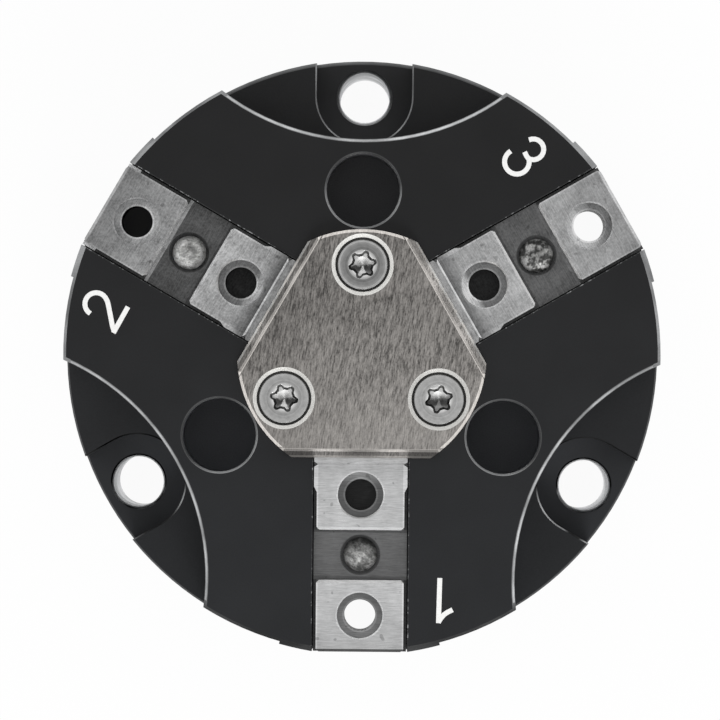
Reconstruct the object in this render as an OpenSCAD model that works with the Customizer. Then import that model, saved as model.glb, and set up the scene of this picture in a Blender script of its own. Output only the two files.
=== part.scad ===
// Three jaw centric gripper. Three base jaws slide outwards together in T-slots of a
// round housing, pulled and pushed by the inclined ribs of a wedge hook on a
// double-acting piston. The origin is the centre of the base, and +Z points out of
// the jaw face. The jaws are modelled closed, with the piston on its end bumper.

/* [Housing] */
// Diameter of the housing
body_d = 105; // [104:0.5:110]
// Height of the housing, from its base to its top face
body_h = 64; // [63:0.5:80]
// Chamfer of the housing's outer edges
body_edge = 0.5; // [0.2:0.1:1]
// How far the raised guide bosses stand out at each jaw slot
boss_proud = 0.5; // [0.2:0.1:1]
// Angle that each guide boss covers
boss_angle = 31; // [27:1:36]
// Radius of the scalloped corners
scallop_r = 41.5; // [38:0.1:46]
// Distance from the axis to the middle of each scallop
scallop_apex = 37.8; // [37.7:0.1:39]
// Depth of the scallops below the top face
scallop_depth = 19; // [12:0.5:22]
// Chamfer round the bores and pockets
rim_chamfer = 0.5; // [0.2:0.1:0.8]
// Diameter of the blind bores between the jaws
relief_bore_d = 12.9; // [8:0.1:13]
// Depth of the blind bores between the jaws
relief_bore_depth = 18; // [10:1:19]
// Distance from the axis to the blind bores
relief_bore_at = 28.8; // [28.5:0.1:29.3]

/* [Fastening] */
// Distance from the housing's edge in to the mounting holes and the dowel bores
mount_edge = 6.5; // [6.3:0.1:6.8]
// Diameter of the mounting holes
mount_hole_d = 9; // [6.6:0.1:9.5]
// Width of the screw head pockets
head_pocket_w = 17; // [16.6:0.1:17.4]
// Depth of the screw head pockets below the scallop floor
head_pocket_depth = 8.5; // [5:0.5:12]
// Diameter of the two dowel bores in the base
dowel_bore_d = 10; // [6:0.5:10]
// Core diameter of the air port threads
port_d = 8.6; // [5:0.1:9]
// Depth of the air port threads
port_depth = 8; // [6:0.5:10]
// Diameter of the air passages into the cylinder
passage_d = 2.6; // [1.5:0.1:3]

/* [Base jaws] */
// Stroke of each jaw
jaw_stroke = 8; // [5:0.5:8]
// Width of the jaw's neck
jaw_w = 16.4; // [15.8:0.1:17]
// How far the outer end of a closed jaw lies inside the housing's edge
jaw_end_gap = 0.2; // [0.1:0.1:0.8]
// Depth of the jaw channel below the top face
jaw_depth = 22; // [20.5:0.5:23.5]
// Height of the jaw's pads above the housing's top face
jaw_proud = 0.5; // [0.2:0.1:1.5]
// Width of the jaw's T-flange
flange_w = 22; // [20:0.5:23]
// Height of the jaw's T-flange
flange_h = 6; // [4:0.5:7]
// Step by which the pads are narrower than the neck, on each side
pad_step = 0.5; // [0.2:0.1:1]
// Distance from the axis to the lowered tongue under the cover plate
tongue_end = 19.4; // [19:0.1:19.8]
// Length of the full-width part of the inner pad
ear_l = 3.9; // [3:0.1:5]
// Width of the cross groove between the pads
groove_w = 8.8; // [8:0.1:9.5]
// Depth of the cross groove
groove_depth = 4; // [3:0.1:4]
// Distance from the inner pad's start to its finger screw
inner_screw_inset = 5.3; // [5:0.1:5.5]
// Distance from the jaw's outer end to its finger screw
outer_screw_inset = 6.4; // [6.2:0.1:7]
// Core diameter of the finger screw threads
finger_thread_d = 5.5; // [4.2:0.1:5.8]
// Depth of the finger screw threads below the pad
finger_thread_depth = 14; // [10:0.5:15]
// Width by which the outer screw hole opens below its thread, per side
thread_relief = 0.8; // [0.5:0.1:1]
// Diameter of the seats for the finger centring sleeves
sleeve_seat_d = 8; // [7:0.1:8.2]
// Depth of the seats for the finger centring sleeves
sleeve_seat_depth = 2.5; // [1.5:0.1:3]
// Diameter of the grease nipple in the cross groove
nipple_d = 6; // [4:0.1:6]
// Height of the grease nipple's domed head
nipple_dome_h = 1.6; // [1:0.1:2]

/* [Cover plate] */
// Radius of the cover plate's round corners
plate_r = 21.9; // [21.5:0.1:22]
// Distance from the axis to the cover plate's flats
plate_flat = 18.2; // [17.6:0.1:18.6]
// Thickness of the cover plate
plate_t = 4; // [3.5:0.1:6]
// Depth of the cover plate's seat in the top face
plate_seat = 1; // [0.5:0.1:1.5]
// Width of the bevel along each flat
bevel_w = 1.5; // [0.5:0.1:2]
// Height of the bevel along each flat
bevel_h = 2; // [1:0.1:2.3]
// Distance from the axis to the cover plate screws
plate_screw_at = 15.7; // [15.5:0.1:16]
// Thread diameter of the cover plate screws
plate_screw_d = 5; // [4:0.5:5]
// Head diameter of the cover plate screws
plate_head_d = 8.9; // [8:0.1:9.2]
// Diameter of the countersinks in the cover plate
plate_sink_d = 10.9; // [10:0.1:11]
// Length of the cover plate screws
plate_screw_l = 14; // [10:0.5:15]

/* [Wedge drive] */
// Stroke of the piston
piston_stroke = 12; // [10:0.5:12.5]
// Height of the wedge hook
wedge_h = 10; // [9:0.5:10.5]
// Distance from the axis to the foot of the wedge faces
wedge_foot = 20.2; // [20:0.1:20.6]
// Radius of the wedge hook's hub
hub_r = 9.8; // [9:0.1:10]
// Width of the wedge arms and of the ribs' heads
arm_w = 11; // [9:0.5:12]
// Width of the ribs' necks
neck_w = 6; // [4:0.5:7]
// Length of the ribs' necks
neck_l = 3; // [2.5:0.1:3.5]
// Thickness of the ribs' heads
head_l = 3; // [2.5:0.1:3.3]
// Thread diameter of the wedge screw
wedge_screw_d = 6; // [5:0.5:6]
// Length of the wedge screw below its head
wedge_screw_l = 18; // [14:1:20]

/* [Cylinder] */
// Bore of the cylinder
cylinder_d = 58; // [57.6:0.1:58.4]
// Thickness of the piston
piston_t = 6.8; // [6.8:0.1:7.4]
// Diameter of the piston rod
rod_d = 18; // [15:0.5:18.5]
// Thickness of the partition plate
partition_t = 5; // [4.9:0.1:5.4]
// Thickness of the retaining ring below the partition plate
circlip_t = 1.5; // [1.2:0.1:2]
// Depth of the retaining ring's groove
circlip_depth = 1.5; // [1:0.1:2]
// Height of the rod bush
bush_h = 2.4; // [2:0.1:2.5]
// Wall of the rod bush
bush_wall = 1.5; // [1:0.1:2.5]
// Section of the static O-rings
o_ring_t = 1.8; // [1.5:0.1:2]
// Radius of the cylinder cover's flange
cover_flange_r = 35.2; // [35:0.1:36.5]
// Thickness of the cylinder cover's flange
cover_flange_t = 3; // [2.8:0.1:3.6]
// Distance from the axis to the cylinder cover screws
cover_screw_at = 31.8; // [31.7:0.1:32]
// Thread diameter of the cylinder cover screws
cover_screw_d = 3; // [2.5:0.5:3]
// Length of the cylinder cover screws
cover_screw_l = 10; // [8:1:14]
// Radius of the rubber end bumper
bumper_r = 12; // [8:0.5:14]
// Height of the end bumper
bumper_h = 2.6; // [2:0.1:3]

/* [Fits] */
// Running clearance of the T-guides, ribs, rod and piston rings, per side
run_fit = 0.04; // [0.02:0.01:0.06]
// Clearance of the jaw's neck in its slot, per side
slot_gap = 0.2; // [0.1:0.05:0.3]
// Clearance round seated plates, screws and covers, per side
seat_fit = 0.05; // [0.03:0.01:0.08]
// Working gap between parts that pass without guiding each other
work_gap = 0.5; // [0.3:0.1:0.6]

/* [Hidden] */
$fn = 96;
eps = 0.01;
JAW_ANGLES = [270, 150, 30];
LOBE_ANGLES = [90, 210, 330];
DOWEL_ANGLES = [270, 30];
COVER_SCREWS = 6;
body_r = body_d / 2;
scallop_rim = body_edge + 0.1;
mount_r = body_r - mount_edge;
jaw_reach = body_r - jaw_end_gap;
bore_r = cylinder_d / 2;
rod_r = rod_d / 2;

// Heights, from the top face downwards
plate_z = body_h - plate_seat;
plate_top = plate_z + plate_t;
pad_z = body_h + jaw_proud;
groove_z = pad_z - groove_depth;
channel_z = body_h - jaw_depth;
tongue_z = plate_z - 0.1;
wedge_z = plate_z - work_gap - piston_stroke - wedge_h;
wedge_top = wedge_z + wedge_h;
partition_top = wedge_z - work_gap;
partition_z = partition_top - partition_t;
circlip_z = partition_z - circlip_t;
piston_top = circlip_z - 2 * work_gap - piston_stroke;
piston_z = piston_top - piston_t;
cover_spigot_top = piston_z - 3 * work_gap;
bumper_z = piston_z - seat_fit - bumper_h;
scallop_z = body_h - scallop_depth;
head_pocket_z = scallop_z - head_pocket_depth;
cover_flange_z = 0.2;
cover_seat_z = cover_flange_z + cover_flange_t;

// Wedge faces: their distance from the axis at height z, with the piston at rest
slope = jaw_stroke / piston_stroke;
function wedge_face(z) = wedge_foot - slope * (z - wedge_z);
face_gap = 0.3;
chamber_r = norm([wedge_foot + neck_l + head_l, arm_w / 2]) + 2 * work_gap;
hub_cavity_r = hub_r + work_gap;

// Jaw channel and pads
channel_w = jaw_w + 2 * slot_gap;
channel_flange_w = flange_w + 2 * run_fit;
pad_w = jaw_w - 2 * pad_step;
screw_in = tongue_end + inner_screw_inset;
screw_out = jaw_reach - outer_screw_inset;
groove_at = (screw_in + screw_out) / 2;
groove_in = groove_at - groove_w / 2;
groove_out = groove_at + groove_w / 2;
finger_thread_z = pad_z - finger_thread_depth;
notch_w = 0.9;
notch_depth = 0.7;
nipple_hole_d = nipple_d + 1.1;
nipple_depth = 7;
nipple_sink = 3;

// Screws
plate_head_z = plate_top - (plate_sink_d - plate_head_d) / 2;
screw_hole_extra = 2;
drive_depth = 0.28;
wedge_head_r = wedge_screw_d * 5 / 6;
wedge_head_h = wedge_screw_d;
wedge_head_z = wedge_top - wedge_head_h - work_gap;
cover_head_r = cover_screw_d * 0.94;

// Rings of the piston and the rod
ring_land = 0.9;
guide_ring_h = 2;
guide_ring_t = 1.5;
guide_ring_z = ring_land;
seal_h = 2.2;
seal_t = 3;
seal_z = guide_ring_z + guide_ring_h + ring_land;
rod_seal_h = 1.6;
rod_seal_t = 2.4;
static_groove_w = o_ring_t + 0.3;
static_groove_depth = o_ring_t - 0.2;
circlip_width = 3.6;
circlip_gap_angle = 14;

// Shared helpers

// Extrudes a profile drawn in the (radius, height) plane to a width across the jaw.
module across(width) {
    rotate([90, 0, 0])
        translate([0, 0, -width / 2])
            linear_extrude(width)
                children();
}

// A slanted slab parallel to the wedge faces, from one offset to another.
module slanted_slab(from, to, z0, z1, width) {
    across(width)
        polygon([
            [wedge_face(z0) + from, z0],
            [wedge_face(z0) + to, z0],
            [wedge_face(z1) + to, z1],
            [wedge_face(z1) + from, z1]
        ]);
}

// A round hole with a chamfered mouth at its upper end.
module hole_with_rim(r, bottom, top, chamfer) {
    translate([0, 0, bottom])
        cylinder(r = r, h = top - bottom + eps);
    translate([0, 0, top - chamfer])
        cylinder(r1 = r, r2 = r + chamfer + eps, h = chamfer + eps);
}

// A plain ring.
module ring(inner, outer, h) {
    difference() {
        cylinder(r = outer, h = h);
        translate([0, 0, -eps])
            cylinder(r = inner, h = h + 2 * eps);
    }
}

// Outline of the cover plate: a disc with a flat towards each jaw.
module plate_outline(r, flat) {
    difference() {
        circle(r = r);
        for (a = JAW_ANGLES)
            rotate(a)
                translate([flat, -r])
                    square(2 * r);
    }
}

// Outline of a six-lobe drive recess.
module six_lobe(across_lobes) {
    lobe_r = across_lobes * 0.13;
    circle(r = across_lobes * 0.37, $fn = 24);
    for (k = [0 : 5])
        rotate(60 * k)
            translate([across_lobes / 2 - lobe_r, 0])
                circle(r = lobe_r, $fn = 16);
}

// A countersunk screw that points down, with its head's top at z = 0.
module countersunk_screw(head_r, shank_r, length, drive) {
    cone_h = head_r - shank_r;
    difference() {
        union() {
            translate([0, 0, -cone_h])
                cylinder(r1 = shank_r, r2 = head_r, h = cone_h);
            translate([0, 0, -length])
                cylinder(r = shank_r, h = length - cone_h + eps);
        }
        translate([0, 0, -drive * drive_depth])
            linear_extrude(drive)
                six_lobe(drive);
    }
}

// Housing

module body_blank() {
    rotate_extrude()
        polygon([
            [0, 0],
            [body_r - body_edge, 0],
            [body_r, body_edge],
            [body_r, body_h - body_edge],
            [body_r - body_edge, body_h],
            [0, body_h]
        ]);
}

module guide_boss() {
    boss_r = body_r + boss_proud;
    root_r = body_r - 2 * body_edge;
    rise = boss_r - root_r;
    rotate(-boss_angle / 2)
        rotate_extrude(angle = boss_angle)
            polygon([
                [root_r, channel_z],
                [boss_r, channel_z + rise],
                [boss_r, body_h - body_edge - rise],
                [root_r, body_h - body_edge]
            ]);
}

module jaw_channel() {
    length = body_r + 2 * boss_proud;
    translate([0, -channel_w / 2, channel_z])
        cube([length, channel_w, jaw_depth + eps]);
    translate([0, -channel_flange_w / 2, channel_z])
        cube([length, channel_flange_w, flange_h + run_fit]);
}

module scallop() {
    translate([scallop_apex + scallop_r, 0, 0])
        hole_with_rim(scallop_r, scallop_z, body_h, scallop_rim);
}

module head_pocket() {
    half = head_pocket_w / 2;
    translate([mount_r, 0, 0])
        hole_with_rim(half, head_pocket_z, scallop_z, rim_chamfer / 2);
    translate([mount_r, -half, head_pocket_z])
        cube([body_r, head_pocket_w, head_pocket_depth + eps]);
    translate([mount_r, 0, 0])
        rotate([90, 0, 90])
            linear_extrude(body_r)
                polygon([
                    [-half, scallop_z - rim_chamfer / 2],
                    [half, scallop_z - rim_chamfer / 2],
                    [half + rim_chamfer / 2 + eps, scallop_z + eps],
                    [-half - rim_chamfer / 2 - eps, scallop_z + eps]
                ]);
}

module mounting_hole() {
    translate([mount_r, 0, -eps])
        cylinder(d = mount_hole_d, h = head_pocket_z + 2 * eps);
    translate([mount_r, 0, head_pocket_z - rim_chamfer])
        cylinder(d1 = mount_hole_d, d2 = mount_hole_d + 2 * rim_chamfer, h = rim_chamfer + eps);
}

module air_port(z) {
    translate([bore_r - 1, 0, z])
        rotate([0, 90, 0])
            cylinder(d = passage_d, h = body_r - bore_r);
    translate([body_r - port_depth, 0, z])
        rotate([0, 90, 0])
            cylinder(d = port_d, h = port_depth + eps);
    translate([body_r - rim_chamfer, 0, z])
        rotate([0, 90, 0])
            cylinder(d1 = port_d, d2 = port_d + 3 * rim_chamfer, h = rim_chamfer + eps);
}

module cylinder_space() {
    translate([0, 0, -eps])
        cylinder(r = cover_flange_r + seat_fit, h = cover_seat_z + eps);
    cylinder(r = bore_r, h = partition_top);
    cylinder(r = chamber_r, h = channel_z + eps);
    translate([0, 0, circlip_z])
        cylinder(r = bore_r + circlip_depth, h = circlip_t);
    cylinder(r = hub_cavity_r, h = body_h + eps);
}

module housing() {
    color([0.13, 0.13, 0.14])
        difference() {
            union() {
                body_blank();
                for (a = JAW_ANGLES)
                    rotate(a)
                        guide_boss();
            }
            cylinder_space();
            for (a = JAW_ANGLES)
                rotate(a)
                    jaw_channel();
            for (a = LOBE_ANGLES)
                rotate(a) {
                    scallop();
                    head_pocket();
                    mounting_hole();
                    translate([relief_bore_at, 0, 0])
                        hole_with_rim(relief_bore_d / 2, body_h - relief_bore_depth, body_h, rim_chamfer / 2);
                    translate([plate_screw_at, 0, plate_head_z - plate_screw_l - screw_hole_extra])
                        cylinder(d = plate_screw_d, h = plate_screw_l);
                }
            for (a = DOWEL_ANGLES)
                rotate(a)
                    translate([mount_r, 0, -eps])
                        cylinder(d = dowel_bore_d, h = channel_z + 2 * eps);
            for (z = [piston_z - work_gap, circlip_z - 2 * work_gap])
                air_port(z);
            for (k = [0 : COVER_SCREWS - 1])
                rotate(30 + k * 360 / COVER_SCREWS)
                    translate([cover_screw_at, 0, 0])
                        cylinder(d = cover_screw_d, h = cover_screw_l + screw_hole_extra);
            translate([0, 0, plate_z])
                linear_extrude(plate_seat + eps)
                    plate_outline(plate_r + seat_fit, plate_flat + seat_fit);
        }
}

// Cover plate

module cover_plate() {
    color([0.56, 0.54, 0.52])
        difference() {
            translate([0, 0, plate_z])
                linear_extrude(plate_t)
                    plate_outline(plate_r, plate_flat);
            for (a = JAW_ANGLES)
                rotate(a)
                    across(2 * plate_r)
                        polygon([
                            [plate_flat - bevel_w, plate_top + eps],
                            [plate_flat + eps, plate_top - bevel_h],
                            [plate_flat + bevel_w, plate_top - bevel_h],
                            [plate_flat + bevel_w, plate_top + eps]
                        ]);
            rotate_extrude()
                polygon([
                    [plate_r - rim_chamfer, plate_top + eps],
                    [plate_r + eps, plate_top - rim_chamfer],
                    [plate_r + 1, plate_top - rim_chamfer],
                    [plate_r + 1, plate_top + eps]
                ]);
            for (a = LOBE_ANGLES)
                rotate(a)
                    translate([plate_screw_at, 0, 0])
                        plate_screw_hole();
        }
}

module plate_screw_hole() {
    hole_r = plate_screw_d / 2 + 5 * seat_fit;
    sink_h = plate_sink_d / 2 - hole_r;
    translate([0, 0, plate_z - eps])
        cylinder(r = hole_r, h = plate_t + 2 * eps);
    translate([0, 0, plate_top - sink_h])
        cylinder(r1 = hole_r, r2 = plate_sink_d / 2 + eps, h = sink_h + eps);
}

module cover_plate_screws() {
    color([0.62, 0.62, 0.6])
        for (a = LOBE_ANGLES)
            rotate(a)
                translate([plate_screw_at, 0, plate_head_z])
                    countersunk_screw(
                        plate_head_d / 2 - seat_fit,
                        plate_screw_d / 2 - seat_fit,
                        plate_screw_l,
                        plate_screw_d * 1.04
                    );
}

// Base jaws, drawn pointing along +X

module pad_outline(x0, x1, corner) {
    half = pad_w / 2;
    polygon([
        [x0 + corner, -half],
        [x1 - corner, -half],
        [x1, -half + corner],
        [x1, half - corner],
        [x1 - corner, half],
        [x0 + corner, half],
        [x0, half - corner],
        [x0, -half + corner]
    ]);
}

module inner_pad_outline() {
    ear_end = tongue_end + ear_l;
    square_half = jaw_w / 2;
    polygon([
        [0, -square_half],
        [ear_end, -square_half],
        [ear_end + 2 * pad_step, -pad_w / 2],
        [ear_end + 2 * pad_step, pad_w / 2],
        [ear_end, square_half],
        [0, square_half]
    ]);
    pad_outline(tongue_end, groove_in, pad_step);
}

module jaw_blank() {
    translate([0, -flange_w / 2, channel_z + run_fit])
        cube([jaw_reach, flange_w, flange_h - run_fit]);
    translate([0, -jaw_w / 2, channel_z + run_fit])
        cube([jaw_reach, jaw_w, groove_z - channel_z - run_fit]);
    translate([0, 0, groove_z - eps])
        linear_extrude(pad_z - groove_z + eps)
            inner_pad_outline();
    translate([0, 0, groove_z - eps])
        linear_extrude(pad_z - groove_z + eps)
            pad_outline(groove_out, jaw_reach, pad_step);
}

// Everything that is cut from the jaw's inner end, where the wedge hook pulls it.
module wedge_groove() {
    z0 = channel_z - 1;
    z1 = pad_z + 1;
    slanted_slab(-4 * wedge_foot, face_gap, z0, z1, 2 * flange_w);
    slanted_slab(0, neck_l + eps, z0, z1, neck_w + 2 * run_fit);
    slanted_slab(neck_l - run_fit, neck_l + head_l + run_fit, z0, z1, arm_w + 2 * run_fit);
}

module finger_screw_hole(x) {
    translate([x, 0, finger_thread_z])
        cylinder(d = finger_thread_d, h = finger_thread_depth);
    translate([x, 0, 0])
        hole_with_rim(sleeve_seat_d / 2, pad_z - sleeve_seat_depth, pad_z, rim_chamfer / 2);
}

module side_notches() {
    half = jaw_w / 2;
    for (side = [-1, 1])
        translate([tongue_end, side * half, groove_z])
            linear_extrude(groove_depth + 1)
                polygon([[-notch_w / 2, 0], [0, -side * notch_depth], [notch_w / 2, 0], [0, side]]);
}

module base_jaw() {
    difference() {
        jaw_blank();
        wedge_groove();
        translate([-eps, -jaw_w, tongue_z])
            cube([tongue_end + eps, 2 * jaw_w, jaw_depth]);
        side_notches();
        finger_screw_hole(screw_in);
        finger_screw_hole(screw_out);
        translate([screw_out, 0, channel_z - eps])
            cylinder(r = finger_thread_d / 2 + thread_relief, h = finger_thread_z - channel_z + 2 * eps);
        translate([groove_at, 0, groove_z - nipple_sink])
            cylinder(d = nipple_hole_d, h = nipple_sink + eps);
        translate([groove_at, 0, groove_z - nipple_depth])
            cylinder(d = nipple_d, h = nipple_depth);
        across(2 * jaw_w)
            for (edge = [[groove_in, 1], [groove_out, -1], [jaw_reach, 1]])
                polygon([
                    [edge[0] - edge[1] * pad_step, pad_z + eps],
                    [edge[0] + edge[1] * eps, pad_z - pad_step],
                    [edge[0] + edge[1] * eps, pad_z + eps]
                ]);
    }
}

module grease_nipple() {
    shank_r = nipple_d / 2 - seat_fit;
    dome_r = (shank_r * shank_r + nipple_dome_h * nipple_dome_h) / (2 * nipple_dome_h);
    intersection() {
        translate([groove_at, 0, groove_z - nipple_depth + seat_fit])
            cylinder(r = shank_r, h = nipple_depth);
        translate([groove_at, 0, groove_z - dome_r - seat_fit])
            sphere(r = dome_r);
    }
    translate([groove_at, 0, groove_z - nipple_depth + seat_fit])
        cylinder(r = shank_r, h = nipple_depth - nipple_dome_h - 2 * seat_fit);
}

module placed_jaw(index) {
    color([0.7, 0.7, 0.69])
        rotate(JAW_ANGLES[index - 1])
            base_jaw();
}

module placed_nipple(index) {
    color([0.5, 0.5, 0.49])
        rotate(JAW_ANGLES[index - 1])
            grease_nipple();
}

// Wedge hook and piston

module wedge_arm() {
    across(arm_w)
        polygon([
            [0, wedge_z],
            [wedge_face(wedge_z), wedge_z],
            [wedge_face(wedge_top), wedge_top],
            [0, wedge_top]
        ]);
    slanted_slab(-1, neck_l + eps, wedge_z, wedge_top, neck_w);
    slanted_slab(neck_l, neck_l + head_l, wedge_z, wedge_top, arm_w);
}

module wedge_hook() {
    color([0.45, 0.46, 0.48])
        difference() {
            union() {
                translate([0, 0, wedge_z])
                    cylinder(r = hub_r, h = wedge_h);
                for (a = JAW_ANGLES)
                    rotate(a)
                        wedge_arm();
            }
            translate([0, 0, wedge_z - eps])
                cylinder(r = wedge_screw_d / 2 + seat_fit, h = wedge_h);
            translate([0, 0, wedge_head_z])
                cylinder(r = wedge_head_r + work_gap, h = wedge_h);
        }
}

module wedge_screw() {
    color([0.2, 0.2, 0.21])
        translate([0, 0, wedge_head_z])
            difference() {
                union() {
                    cylinder(r = wedge_head_r, h = wedge_head_h);
                    translate([0, 0, -wedge_screw_l])
                        cylinder(r = wedge_screw_d / 2 - seat_fit, h = wedge_screw_l + eps);
                }
                translate([0, 0, wedge_head_h / 2])
                    cylinder(r = wedge_screw_d * 0.48, h = wedge_head_h, $fn = 6);
            }
}

module piston() {
    land_r = bore_r - 3 * run_fit;
    color([0.68, 0.69, 0.7])
        difference() {
            union() {
                translate([0, 0, piston_z])
                    cylinder(r = land_r, h = piston_t);
                translate([0, 0, piston_z])
                    cylinder(r = rod_r, h = wedge_z - piston_z);
            }
            translate([0, 0, piston_z + guide_ring_z])
                ring(bore_r - guide_ring_t - seat_fit, bore_r + 1, guide_ring_h);
            translate([0, 0, piston_z + seal_z])
                ring(bore_r - seal_t - seat_fit, bore_r + 1, seal_h);
            translate([0, 0, wedge_head_z - wedge_screw_l - screw_hole_extra])
                cylinder(d = wedge_screw_d, h = wedge_z);
        }
}

module piston_seal() {
    color([0.08, 0.08, 0.08])
        translate([0, 0, piston_z + seal_z + seat_fit])
            ring(bore_r - seal_t, bore_r - run_fit, seal_h - 2 * seat_fit);
}

module piston_guide_ring() {
    color([0.75, 0.7, 0.55])
        translate([0, 0, piston_z + guide_ring_z + seat_fit])
            ring(bore_r - guide_ring_t, bore_r - run_fit, guide_ring_h - 2 * seat_fit);
}

// Partition plate between the cylinder and the wedge chamber

static_o_ring_z = partition_z + partition_t / 2;

module static_groove(z) {
    translate([0, 0, z - static_groove_w / 2])
        ring(bore_r - static_groove_depth, bore_r + 1, static_groove_w);
}

module static_o_ring(z) {
    section_r = static_groove_depth / 2 - run_fit;
    translate([0, 0, z])
        rotate_extrude()
            translate([bore_r - static_groove_depth / 2, 0])
                circle(r = section_r, $fn = 32);
}

module partition_plate() {
    color([0.66, 0.67, 0.68])
        difference() {
            translate([0, 0, partition_z])
                cylinder(r = bore_r - seat_fit, h = partition_t);
            translate([0, 0, partition_z - eps])
                cylinder(r = rod_r + 6 * run_fit, h = partition_t + 2 * eps);
            translate([0, 0, partition_z - eps])
                cylinder(r = rod_r + bush_wall + run_fit, h = bush_h + eps);
            translate([0, 0, partition_z + bush_h + work_gap])
                cylinder(r = rod_r + rod_seal_t + run_fit, h = rod_seal_h);
            static_groove(static_o_ring_z);
        }
}

module partition_o_ring() {
    color([0.08, 0.08, 0.08])
        static_o_ring(static_o_ring_z);
}

module partition_circlip() {
    outer = bore_r + circlip_depth - seat_fit;
    inner = outer - circlip_width;
    ear_r = circlip_width * 0.55;
    ear_at = inner + ear_r * 0.6;
    color([0.3, 0.3, 0.31])
        translate([0, 0, circlip_z + seat_fit / 2])
            linear_extrude(circlip_t - seat_fit)
                difference() {
                    union() {
                        difference() {
                            circle(r = outer);
                            circle(r = inner);
                        }
                        for (side = [-1, 1])
                            rotate(90 + side * circlip_gap_angle / 2)
                                translate([ear_at, 0])
                                    circle(r = ear_r, $fn = 32);
                    }
                    rotate(90 - circlip_gap_angle / 4)
                        polygon([
                            [0, 0],
                            [2 * outer, 0],
                            [2 * outer * cos(circlip_gap_angle / 2), 2 * outer * sin(circlip_gap_angle / 2)]
                        ]);
                    for (side = [-1, 1])
                        rotate(90 + side * circlip_gap_angle / 2)
                            translate([ear_at, 0])
                                circle(r = ear_r * 0.4, $fn = 24);
                }
}

module rod_bush() {
    color([0.72, 0.56, 0.25])
        translate([0, 0, partition_z])
            ring(rod_r + run_fit, rod_r + bush_wall, bush_h - seat_fit);
}

module rod_seal() {
    color([0.08, 0.08, 0.08])
        translate([0, 0, partition_z + bush_h + work_gap + seat_fit])
            ring(rod_r + run_fit, rod_r + rod_seal_t, rod_seal_h - 2 * seat_fit);
}

// Cylinder cover in the base

cover_o_ring_z = (cover_seat_z + cover_spigot_top) / 2;

module cylinder_cover() {
    color([0.62, 0.63, 0.64])
        difference() {
            union() {
                translate([0, 0, cover_flange_z])
                    cylinder(r = cover_flange_r, h = cover_flange_t);
                translate([0, 0, cover_flange_z])
                    cylinder(r = bore_r - seat_fit, h = cover_spigot_top - cover_flange_z);
            }
            static_groove(cover_o_ring_z);
            translate([0, 0, bumper_z])
                cylinder(r = bumper_r + seat_fit, h = bumper_h);
            for (k = [0 : COVER_SCREWS - 1])
                rotate(30 + k * 360 / COVER_SCREWS)
                    translate([cover_screw_at, 0, cover_flange_z])
                        cover_screw_hole();
        }
}

module cover_screw_hole() {
    hole_r = cover_screw_d / 2 + 4 * seat_fit;
    translate([0, 0, -eps])
        cylinder(r = hole_r, h = cover_flange_t + 2 * eps);
    translate([0, 0, -eps])
        cylinder(r1 = cover_head_r + eps, r2 = hole_r, h = cover_head_r - hole_r + eps);
}

module cylinder_cover_screws() {
    color([0.25, 0.25, 0.26])
        for (k = [0 : COVER_SCREWS - 1])
            rotate(30 + k * 360 / COVER_SCREWS)
                translate([cover_screw_at, 0, cover_flange_z + seat_fit])
                    mirror([0, 0, 1])
                        countersunk_screw(
                            cover_head_r - seat_fit,
                            cover_screw_d / 2 - seat_fit,
                            cover_screw_l - cover_flange_z,
                            cover_screw_d * 0.9
                        );
}

module cylinder_cover_o_ring() {
    color([0.08, 0.08, 0.08])
        static_o_ring(cover_o_ring_z);
}

module end_bumper() {
    color([0.1, 0.1, 0.1])
        translate([0, 0, bumper_z])
            cylinder(r = bumper_r, h = bumper_h);
}

housing();
cover_plate();
cover_plate_screws();
placed_jaw(1);  // base_jaw_1
placed_jaw(2);  // base_jaw_2
placed_jaw(3);  // base_jaw_3
placed_nipple(1);  // grease_nipple_1
placed_nipple(2);  // grease_nipple_2
placed_nipple(3);  // grease_nipple_3
wedge_hook();
wedge_screw();
piston();
piston_seal();
piston_guide_ring();
partition_plate();
partition_o_ring();
partition_circlip();
rod_bush();
rod_seal();
cylinder_cover();
cylinder_cover_screws();
cylinder_cover_o_ring();
end_bumper();
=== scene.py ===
import math

import bmesh
import bpy
from mathutils import Matrix, Vector


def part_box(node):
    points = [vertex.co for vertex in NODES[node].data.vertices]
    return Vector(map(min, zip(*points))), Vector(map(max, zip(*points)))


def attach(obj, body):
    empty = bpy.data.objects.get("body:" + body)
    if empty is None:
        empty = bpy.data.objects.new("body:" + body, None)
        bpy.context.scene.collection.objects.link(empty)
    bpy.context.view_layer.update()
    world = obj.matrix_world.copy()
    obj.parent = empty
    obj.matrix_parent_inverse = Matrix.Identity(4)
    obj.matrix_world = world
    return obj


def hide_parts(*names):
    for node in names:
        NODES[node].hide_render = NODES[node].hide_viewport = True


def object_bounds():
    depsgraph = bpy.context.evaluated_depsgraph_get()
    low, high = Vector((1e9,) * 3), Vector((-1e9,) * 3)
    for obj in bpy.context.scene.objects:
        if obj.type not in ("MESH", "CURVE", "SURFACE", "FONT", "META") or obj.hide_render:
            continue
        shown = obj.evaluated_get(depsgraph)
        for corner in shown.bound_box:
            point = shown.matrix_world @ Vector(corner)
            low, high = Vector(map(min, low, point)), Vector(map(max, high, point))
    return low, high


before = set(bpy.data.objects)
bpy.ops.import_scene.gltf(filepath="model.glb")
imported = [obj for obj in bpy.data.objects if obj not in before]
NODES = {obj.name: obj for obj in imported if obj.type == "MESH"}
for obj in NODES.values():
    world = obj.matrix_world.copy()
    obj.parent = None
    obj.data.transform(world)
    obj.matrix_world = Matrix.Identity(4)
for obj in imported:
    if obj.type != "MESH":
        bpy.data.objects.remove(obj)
CAD_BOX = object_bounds()
MM = 0.001
JAW_ANGLES = (270, 150, 30)
LOBE_ANGLES = (90, 210, 330)
WHITE = (1, 1, 1, 1)

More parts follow.
